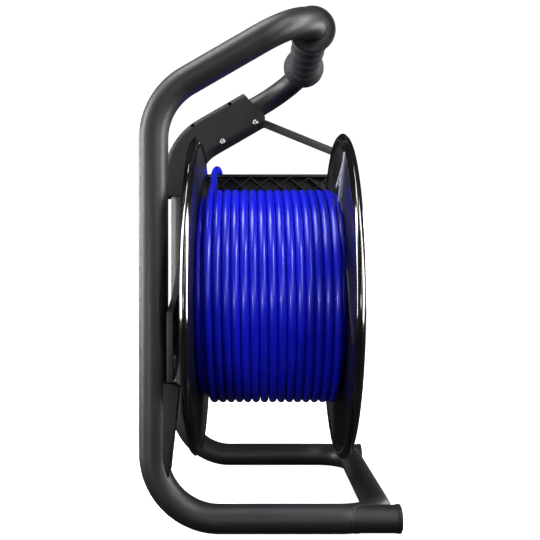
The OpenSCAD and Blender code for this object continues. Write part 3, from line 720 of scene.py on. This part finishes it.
def add_foot_caps():
    """Plastic end plugs with a spigot, a head with a chamfered rim and a shallow recess in its end."""
    low, high = box("foot_caps")
    shape = bmesh.new()
    r = (high.z - low.z) / 2
    for y in (-LEG_Y, LEG_Y):
        profile = rounded([(0, 0), (r - 2.2, 0), (r - 2.2, 4), (r, 4), (r, 7.2), (r - 1.6, 8), (5.2, 8),
                           (4.6, 7.2), (0, 7.2)], 0.5, 3, closed=False)
        cap = lathe(profile, 96)
        add(shape, cap, Matrix.Translation((low.x, y, FOOT_Z)) @ ALONG_X)
    make("foot_plugs", shape, "root", "clamp_plastic", ("foot_caps",))


def add_grip():
    """Rubber grip with finger waves, fine rings and a flange at each end."""
    half = (box("hand_grip")[1].y - box("hand_grip")[0].y) / 2
    body_r, flange_r, inner_r = 16.4, 21.15, TUBE_R + 0.05
    wave_pitch, wave_reach, line_pitch = 22, 55, 2.75
    flare_from, flare_run = 46, 11
    place = ARM @ Matrix.Translation((HANDLE_S, 0, 0))

    def radius(y):
        reach = abs(y)
        wave = 0.75 * (1 - math.cos(TAU * y / wave_pitch)) if reach < wave_reach else 0
        flare = 2.6 * max(0, (reach - flare_from) / flare_run) ** 2
        return body_r - wave + flare + 0.06 * math.cos(TAU * y / line_pitch)

    count = 280
    reach = half - 4.6
    walls = [(radius(-reach + 2 * reach * k / count), -reach + 2 * reach * k / count)
             for k in range(count + 1)]
    left = [(inner_r, -half), (13.4, -half), (14.2, -half + 0.5), (flange_r - 2.6, -half + 0.5),
            (flange_r - 1.3, -half), (flange_r - 0.3, 0.5 - half), (flange_r, 1.5 - half),
            (flange_r, 2.6 - half), (flange_r - 0.4, 3.5 - half), (flange_r - 1.4, 4 - half)]
    right = [(r, -h) for r, h in reversed(left)]
    shape = lathe(left + walls + right, 128)
    bmesh.ops.transform(shape, matrix=place @ ALONG_Y, verts=shape.verts)
    grip = make("grip", shape, "root", "grip_rubber", ("hand_grip",), smooth=60)
    hole = rod([Vector((-17.6, half - 12, 2.2)), Vector((-17.6, half + 4, 2.2))], 0.8, X)
    bmesh.ops.transform(hole, matrix=place, verts=hole.verts)
    cut(grip, [hole])


# ------------------------ elbow clamp, stay and guide rail

CLAMP_LOW, CLAMP_TOP, CLAMP_OUT, CLAMP_ROUND = 22, 18.5, 17, 6
CLAMP_FOOT_Z = box("clamp_shell_inner")[0].z
# The clamp's slanted end: how far along the arm it reaches at each place across it
CLAMP_END = [(18.5, 59.3), (6.3, 61.5), (-3, 65.3), (-12, 67.5), (-18, 66.8), (-22, 63.3)]
TOP_HOLES = [(-7.4, 15.2), (40.2, 14.9)]    # along the arm and across it
LOW_HOLES = [(12.6, -17.2), (54.5, -17)]


def clamp_reach(across):
    """How far along the arm the clamp reaches at a place across it, on a smooth line."""
    for (a, reach_a), (b, reach_b) in zip(CLAMP_END, CLAMP_END[1:]):
        if across >= b:
            t = (a - across) / (a - b)
            return reach_a + (reach_b - reach_a) * t
    return CLAMP_END[-1][1]


def clamp_section(count=72):
    """Pairs of matching points of the shell's outside and bore: across the arm and out from the split."""
    outside = rounded([(-CLAMP_LOW, 0), (-CLAMP_LOW, CLAMP_OUT), (CLAMP_TOP, CLAMP_OUT), (CLAMP_TOP, 0)],
                      CLAMP_ROUND, 10, closed=False)
    lengths = [0]
    for a, b in zip(outside, outside[1:]):
        lengths.append(lengths[-1] + (b - a).length)
    pairs = []
    for k in range(count + 1):
        at = lengths[-1] * k / count
        i = max(j for j in range(len(outside) - 1) if lengths[j] <= at + 1e-9)
        t = (at - lengths[i]) / (lengths[i + 1] - lengths[i])
        a = math.pi * (1 - k / count)
        bore = TUBE_R + 0.1
        pairs.append((outside[i].lerp(outside[i + 1], t), Vector((bore * math.cos(a), bore * math.sin(a)))))
    return pairs


def clamp_shell_shape(side):
    """One shell; side is -1 for the one that faces the drum and 1 for the outer one."""
    pairs = clamp_section()
    centre = Vector((LEG_X + SHOULDER_R, LEG_Y, SHOULDER_Z))
    rings = []

    def station(place):
        """Ring of points, where place turns a place across the arm into a point."""
        outer = [place(p.x) + Vector((0, side * p.y, 0)) for p, _ in pairs]
        bore = [place(q.x) + Vector((0, side * q.y, 0)) for _, q in pairs]
        rings.append(outer + bore[::-1])

    for z in (CLAMP_FOOT_Z, CLAMP_FOOT_Z + 5, SHOULDER_Z):
        station(lambda across: Vector((LEG_X - across, LEG_Y, z)))
    for degrees in range(175, 120, -5):
        a = math.radians(degrees)
        way = Vector((math.cos(a), 0, math.sin(a)))
        station(lambda across: centre + (SHOULDER_R + across) * way)
    for part in (0, 0.3, 0.6, 0.85, 1):
        station(lambda across: ARM @ Vector((clamp_reach(across) * part, LEG_Y, across)))
    shape = skin(rings)
    shape.verts.ensure_lookup_table()
    count = len(pairs)
    for start in (0, len(shape.verts) - 2 * count):
        ends = shape.verts[start:start + 2 * count]
        for i in range(count - 1):
            shape.faces.new((ends[i], ends[i + 1], ends[2 * count - 2 - i], ends[2 * count - 1 - i]))
    bmesh.ops.recalc_face_normals(shape, faces=shape.faces)
    return soften(shape, 0.45, 50, 3)


def on_hole(part, hole):
    """Moves a shape that runs along Z to a hole of the clamp, with +Z towards the near leg."""
    spot = Matrix.Translation((hole[0], LEG_Y, hole[1]))
    bmesh.ops.transform(part, matrix=ARM @ spot @ Matrix.Rotation(math.pi / 2, 4, "X"), verts=part.verts)
    return part


def hole_cutter(hole, radius, low=-30, high=30, sides=24):
    return on_hole(rod([Vector((0, 0, low)), Vector((0, 0, high))], radius, X, sides), hole)


def add_clamp():
    """Both shells with two open holes, two screws and their nuts in pockets of the outer shell."""
    open_r, screw_hole_r, nut_r = 2.1, 2.05, 4.2
    for name, side in (("clamp_shell_inner", -1), ("clamp_shell_outer", 1)):
        shell = make(name + "_piece", clamp_shell_shape(side), "root", "clamp_plastic", (name,))
        cutters = [hole_cutter(hole, open_r, sides=40) for hole in TOP_HOLES]
        cutters += [hole_cutter(hole, screw_hole_r) for hole in LOW_HOLES]
        if side > 0:
            cutters += [hole_cutter(hole, nut_r, -22, -13.6, 6) for hole in LOW_HOLES]
        cut(shell, cutters)
    shape = bmesh.new()
    for hole in LOW_HOLES:
        add(shape, on_hole(bolt(2.85, 1.35, 2, 33.4), hole))
    bmesh.ops.translate(shape, vec=(0, -CLAMP_OUT, 0), verts=shape.verts)
    make("clamp_screws_piece", shape, "root", "zinc_steel", ("clamp_screws",))
    refined("clamp_nuts", 0.2)


def rail_rib(x0, x1, top, bottom, y0, y1, thick, limits):
    """Slanted rib of the lattice, clipped between two X limits."""
    way = Vector((x1 - x0, bottom - top)).normalized()
    over = Vector((-way.y, way.x)) * thick / 2
    a, b = Vector((x0, top)) - way * 3, Vector((x1, bottom)) + way * 3
    shape = bmesh.new()
    corners = [a + over, b + over, b - over, a - over]
    near = [shape.verts.new((p.x, y0, p.y)) for p in corners]
    far = [shape.verts.new((p.x, y1, p.y)) for p in corners]
    shape.faces.new(near)
    shape.faces.new(far[::-1])
    for i in range(4):
        j = (i + 1) % 4
        shape.faces.new((near[i], far[i], far[j], near[j]))
    planes = [((limits[0], 0, 0), (-1, 0, 0)), ((limits[1], 0, 0), (1, 0, 0)),
              ((0, 0, top + 1), (0, 0, 1)), ((0, 0, bottom - 1), (0, 0, -1))]
    for point, normal in planes:
        result = bmesh.ops.bisect_plane(shape, geom=shape.verts[:] + shape.edges[:] + shape.faces[:],
                                        plane_co=point, plane_no=normal, clear_outer=True)
        edges = [e for e in result["geom_cut"] if isinstance(e, bmesh.types.BMEdge)]
        if edges:
            bmesh.ops.edgenet_fill(shape, edges=edges)
    bmesh.ops.recalc_face_normals(shape, faces=shape.faces)
    return soften(shape, 0.25, 50)


def add_rail():
    """Guide rail with two chords, end blocks and crossed ribs, its stay and its two screws."""
    low, high = box("guide_rail")
    chord, block_x, pitch, rib = 3.5, 82, 22, 1.6
    first_x = -80.5
    shape = block((low.x, low.y, high.z - chord), (high.x, high.y, high.z), 0.5, 3)
    add(shape, block((low.x, low.y, low.z), (high.x, high.y, low.z + chord), 0.5, 3))
    add(shape, block((low.x + 0.1, high.y - 2.5, low.z + 1), (high.x - 0.1, high.y - 0.1, high.z - 1), 0.4))
    add(shape, block((low.x + 0.05, low.y + 0.1, low.z + 1), (low.x + 3, high.y - 1, high.z - 1), 0.4))
    add(shape, block((block_x, low.y + 0.1, low.z + 1), (high.x - 0.05, high.y - 1, high.z - 1), 0.5))
    for k in range(8):
        bay = (first_x + pitch * k, first_x + pitch * (k + 1))
        for x0, x1 in (bay, bay[::-1]):
            add(shape, rail_rib(x0, x1, high.z - chord, low.z + chord, low.y + 1, high.y - 2, rib,
                                (low.x + 1, block_x + 1)))
    make("guide_rail_piece", shape, "root", "black_plastic", ("guide_rail",))
    refined("guide_stay", 0.5, slot="frame_paint", segments=3)

    screw_low, screw_high = box("rail_screws")
    shape = bmesh.new()
    clamp_screw = Vector((low.x + 3, low.y + 5.5, 312))
    add(shape, bolt(3.4, 2.2, 2, clamp_screw.x - screw_low.x), Matrix.Translation(clamp_screw) @ ALONG_X)
    stay_screw = Vector((88, LEG_Y, 315))
    add(shape, bolt(3.4, 2.2, 2, screw_high.y - LEG_Y),
        Matrix.Translation(stay_screw) @ Matrix.Rotation(math.pi / 2, 4, "X"))
    make("rail_screws_piece", shape, "root", "zinc_steel", ("rail_screws",))


# ------------------------ carrier

def add_carrier():
    refined("carrier_plate", 0.5, slot="frame_paint", segments=3)
    refined("hub_boss", 0.6, slot="frame_paint", segments=3)
    for node in ("leg_brace_near", "leg_brace_far"):
        refined(node, 0.4, slot="clamp_plastic")
    refined("axle", 0.5)
    refined("lock_nut", 0.4)


# ------------------------ drum

def rim_at(rim, t):
    """Rim radius at a fraction of the bead's width: a crown with two soft grooves."""
    return rim - 3.8 * abs(2 * t - 1) ** 2.2 - 0.2 * (1 - math.cos(TAU * 2 * t))


def flange_profile(rim, web_x, out):
    """Closed section of a flange as radius and X; out is the way away from the windings."""
    bead_w, bead_steps = 8.2, 60
    collar_out, collar_in, collar_h = 112, 108, 2.4
    bore = SLEEVE_R + 0.05
    face = web_x + out * WEB_T
    lip = web_x - out * RIM_LIP
    points = [(bore, web_x), (rim - 10, web_x), (rim - 8.4, web_x - out * 0.25), (rim - 7, lip)]
    points += [(rim_at(rim, k / bead_steps), lip + out * bead_w * k / bead_steps)
               for k in range(bead_steps + 1)]
    back = [points[-1], (rim - 7, lip + out * bead_w), (rim - 9, face), (collar_out, face),
            (collar_out, face + out * collar_h), (collar_in, face + out * collar_h), (collar_in, face),
            (60, face)]
    points += rounded(back, 0.6, 3, closed=False)[1:-1]
    groove = face - out * 0.35
    for r in (66, 42):                      # shallow moulded grooves
        points += [(r + 1, face), (r + 0.5, groove), (r - 0.5, groove), (r - 1, face)]
    return points + [(bore, face)]


def flange_shape(rim, web_x, out):
    """Flange about the drum's axis with twelve stiffening ribs on its outer face."""
    shape = lathe(flange_profile(rim, web_x, out), 240)
    face = web_x + out * WEB_T
    for k in range(12):
        high = face + out * 2.9
        low, top = sorted((face - out * 0.5, high))
        rib = block((111, -1.5, low), (rim - 8, 1.5, top), 0.7, 3)
        add(shape, rib, Matrix.Rotation(TAU * (k + 0.5) / 12, 4, "Z"))
    bmesh.ops.transform(shape, matrix=DRUM, verts=shape.verts)
    return shape


def web_rib(start, end, start_h, end_h, thick):
    """Rib on the winding side of the front flange between two points about the axis."""
    start, end = Vector(start), Vector(end)
    run = end - start
    shape = bmesh.new()
    corners = []
    across = Vector((-run.y, run.x)).normalized() * thick / 2
    for end_point, height in ((start, start_h), (end, end_h)):
        for side in (-1, 1):
            foot = end_point + across * side
            corners.append((shape.verts.new((FRONT_WEB + 0.5, foot.x, AXIS_Z + foot.y)),
                            shape.verts.new((FRONT_WEB - height, foot.x, AXIS_Z + foot.y))))
    for i, j in ((0, 1), (1, 3), (3, 2), (2, 0)):
        shape.faces.new((corners[i][0], corners[j][0], corners[j][1], corners[i][1]))
    for level in (0, 1):
        shape.faces.new([corners[i][level] for i in (0, 1, 3, 2)])
    bmesh.ops.recalc_face_normals(shape, faces=shape.faces)
    return soften(shape, 0.35, 50, 3)


def add_marks():
    """Raised marks on the winding side of the front flange: three lines of plain strokes and a rib, coloured
    silvery grey as a painted highlight.
    """
    shape = bmesh.new()
    widths = (5, 2.2, 3.4, 5, 1.6, 4.2, 2.6, 5, 3.2, 2)
    gap, half_tall, proud, sunk, edge = 2, 1.9, 0.45, 0.3, 0.15
    fall = math.radians(14)                 # the lines fall by this much towards +Y
    line = Vector((0, math.cos(fall), -math.sin(fall)))
    turn = Matrix(((0, 0, 1, 0), (math.sin(fall), math.cos(fall), 0, 0),
                   (math.cos(fall), -math.sin(fall), 0, 0), (0, 0, 0, 1)))
    for start_y, start_z, length in ((-66, 121, 66), (-60, 113, 35), (-55, 105, 20)):
        at, k = 0, 0
        while at < length:
            wide = widths[(k * 3 + length) % len(widths)]
            foot = -half_tall if k % 2 else half_tall - 0.8
            mark = block((-half_tall, -wide / 2, -proud), (half_tall, 0.9 - wide / 2, sunk), edge)
            add(mark, block((foot, -wide / 2, -proud), (foot + 0.8, wide / 2, sunk), edge))
            spot = Vector((FRONT_WEB, start_y, AXIS_Z + start_z)) + line * (at + wide / 2)
            add(shape, mark, Matrix.Translation(spot) @ turn)
            at += wide + gap
            k += 1
    add(shape, web_rib((-41, 82), (-76, 126), 3.5, 1.2, 4))
    # The marks and the rib take the painted-highlight grey instead of the drum's black plastic.
    make("flange_marks", shape, "drum", "drum_plastic", material=PAINTED_HIGHLIGHT)


def add_drum():
    """Both flanges, the bolts that tie them through the core, and the hub cap."""
    shape = flange_shape(FRONT_RIM, FRONT_WEB, 1)
    add(shape, web_rib((-48.5, 89), (-130, -37), 1.2, 1, 1.5))
    knob = middle("winding_knob")
    boss = ring([(4.1, 0), (9, 0), (9, 5.4), (4.1, 5.4)], 0.6, 64)
    add(shape, boss, Matrix.Translation((FRONT_WEB + WEB_T - 0.1, knob.y, knob.z)) @ ALONG_X)
    make("flange_front_piece", shape, "drum", "drum_plastic", ("flange_front",))
    make("flange_back_piece", flange_shape(BACK_RIM, BACK_WEB, -1), "drum", "drum_plastic", ("flange_back",))
    add_marks()

    back_x, front_x = box("tie_bolts")
    face = FRONT_WEB + WEB_T
    shape = bmesh.new()
    for degrees in (45, 135, 225, 315):
        a = math.radians(degrees)
        spot = (face, TIE_RING_R * math.cos(a), AXIS_Z + TIE_RING_R * math.sin(a))
        add(shape, bolt(5.2, front_x.x - face, 3, face - back_x.x), Matrix.Translation(spot) @ ALONG_X)
    make("tie_bolts_piece", shape, "drum", "zinc_steel", ("tie_bolts",))
    refined("tie_nuts", 0.4, "drum")

    cap = rounded([(0, 19.5), (14, 19.3), (22.5, 18), (25.2, 15.6), (26, 12.5), (26, 0.2), (23, 0.2),
                   (23, 13), (20, 15.6), (0, 16)], 1.2, 4, closed=False)
    moulded_ring = [(0, 19.5), (9, 19.45), (9.4, 19.1), (10.2, 19.1), (10.6, 19.4)]
    shape = lathe(moulded_ring + cap[1:], 128)
    bmesh.ops.transform(shape, matrix=Matrix.Translation((face, 0, 0)) @ DRUM, verts=shape.verts)
    make("hub_cap_piece", shape, "drum", "drum_plastic", ("hub_cap",))


def add_socket():
    """Panel with the coupler, its contacts and screws, and the dust cap over it."""
    refined("socket_panel", 0.6, "drum", "black_plastic", 3)
    refined("rj45_coupler", 0.25, "drum", "jack_shell")
    refined("dust_cap", 0.5, "cap", "black_plastic", 3)
    low, high = box("panel_screws")
    shape = bmesh.new()
    head_x = high.x - 1.4
    for y in (-15, 15):
        for z in (-13, 13):
            spot = Matrix.Translation((head_x, y, (low.z + high.z) / 2 + z))
            add(shape, bolt(2.6, 1.4, 1.5, head_x - low.x), spot @ ALONG_X)
    make("panel_screws_piece", shape, "drum", "zinc_steel", ("panel_screws",))

    low, high = box("rj45_coupler")
    centre = (low + high) / 2
    shape = bmesh.new()
    for k in range(8):                      # spring contacts, bent back into the socket
        y = (k - 3.5) * 1.1
        path = [Vector((high.x - 11.6, y, centre.z + 3.6)), Vector((high.x - 4, y, centre.z + 3.3)),
                Vector((high.x - 3, y, centre.z + 2.9)), Vector((high.x - 9.5, y, centre.z + 0.6))]
        add(shape, rod(smooth_route(path, 6), 0.24, Y, 8))
    make("socket_contacts", shape, "drum", "jack_shell", material=GOLD)


def add_knob():
    low, high = box("winding_knob")
    end = high.x - low.x
    place = Matrix.Translation((low.x, (low.y + high.y) / 2, (low.z + high.z) / 2)) @ ALONG_X
    profile = rounded([(4.05, 0), (11, 0), (12.5, 1.5), (12.5, 3.5), (10.4, 8.5), (10.2, 12.5), (11.4, 17.5),
                       (13.4, 21.5), (14, 24), (13.2, end - 1), (11.5, end), (7.6, end), (7.6, 21.6),
                       (4.05, 21.6)], 1.0, 4)
    shape = lathe(profile, 96)
    for k in range(10):                     # finger flutes stand out as narrow ribs
        a = TAU * k / 10
        rib = rod([Vector((10.1, 0, 9.5)), Vector((10.15, 0, 12.5)), Vector((11.0, 0, 16.5))], 0.7, Y, 10)
        add(shape, rib, Matrix.Rotation(a, 4, "Z"))
    bmesh.ops.transform(shape, matrix=place, verts=shape.verts)
    make("knob_piece", shape, "knob", "black_plastic", ("winding_knob",))
    refined("knob_bolt", 0.4, "drum")


# ------------------------ light and floor

def add_stage():
    """Pale floor that curves up on all sides into a plain round room."""
    floor_r, bend_r, high, sides = 3.0, 1.5, 6.0, 64
    line = [(floor_r + bend_r * math.sin(math.radians(a)), bend_r * (1 - math.cos(math.radians(a))))
            for a in range(0, 91, 6)]
    line += [(floor_r + bend_r, high), (0.8 * floor_r, high + bend_r)]
    mesh = bmesh.new()
    rows = [[mesh.verts.new((r * math.cos(TAU * k / sides), r * math.sin(TAU * k / sides), z))
             for k in range(sides)] for r, z in line]
    mesh.faces.new(rows[0])
    mesh.faces.new(rows[-1][::-1])
    for a, b in zip(rows, rows[1:]):
        for i in range(sides):
            j = (i + 1) % sides
            mesh.faces.new((a[i], a[j], b[j], b[i])).smooth = True
    data = bpy.data.meshes.new("stage")
    mesh.to_mesh(data)
    mesh.free()
    stage = bpy.data.objects.new("stage", data)
    bpy.context.collection.objects.link(stage)
    paint = Paint("stage")
    paint.colour(paint.noise(3, 2), (0.9, 0.9, 0.9), (0.93, 0.93, 0.93))
    paint.shader.inputs["Roughness"].default_value = 0.9
    paint.shader.inputs["Emission Color"].default_value = (1, 1, 1, 1)
    paint.shader.inputs["Emission Strength"].default_value = 0.95
    data.materials.append(paint.material)
    stage.visible_glossy = False            # gloss shows the lamps on a dark room, not the floor
    stage.visible_diffuse = False


# Lamps: name, place and size in metres, power in watts
LAMPS = [
    ("top", (-0.5, -0.25, 1.6), (0.8, 0.95), 23),
    ("left", (-1.35, -0.1, 0.6), (0.4, 1.3), 33),
    ("right", (1.35, -0.25, 0.6), (0.36, 1.4), 34),
    ("right_front", (0.8, -1.25, 0.8), (0.1, 1.0), 7),
    ("high_right", (1.0, -1.0, 1.5), (0.35, 0.35), 12),
    ("low_front", (-0.8, -1.35, 0.12), (0.35, 0.2), 6),
    ("front", (0.1, -2.3, 0.5), (0.9, 0.9), 4.5),
    ("back_right", (1.6, 1.3, 0.45), (0.3, 0.7), 11),
    ("back_left", (-1.6, 1.2, 0.45), (0.3, 0.7), 12),
]
LAMP_TARGET = Vector((0, 0, 0.25))


def add_lights():
    """Soft rectangular lamps that look at the reel, and a faint even world."""
    for name, place, size, power in LAMPS:
        data = bpy.data.lights.new(name, "AREA")
        data.shape = "RECTANGLE"
        data.size, data.size_y = size
        data.energy = power
        lamp = bpy.data.objects.new(name, data)
        lamp.location = place
        lamp.rotation_euler = (LAMP_TARGET - Vector(place)).to_track_quat("-Z", "Y").to_euler()
        bpy.context.collection.objects.link(lamp)
    world = bpy.context.scene.world or bpy.data.worlds.new("world")
    bpy.context.scene.world = world
    world.use_nodes = True
    background = world.node_tree.nodes["Background"]
    background.inputs["Color"].default_value = (1, 1, 1, 1)
    background.inputs["Strength"].default_value = 0.01
    bpy.context.scene.view_settings.view_transform = "Standard"


# ------------------------ everything together

add_frame_tubes()
add_welds()
add_foot_caps()
add_grip()
add_clamp()
add_rail()
add_carrier()
add_drum()
add_socket()
add_knob()

CAD_SLOTS = {row["node"]: row["material_slot"] for row in frame["record"]["subparts"]}
for node, piece in frame["nodes"].items():
    piece.data.materials.clear()
    piece.data.materials.append(MATERIALS[CAD_SLOTS[node]])

add_stage()
add_lights()

bpy.context.view_layer.update()
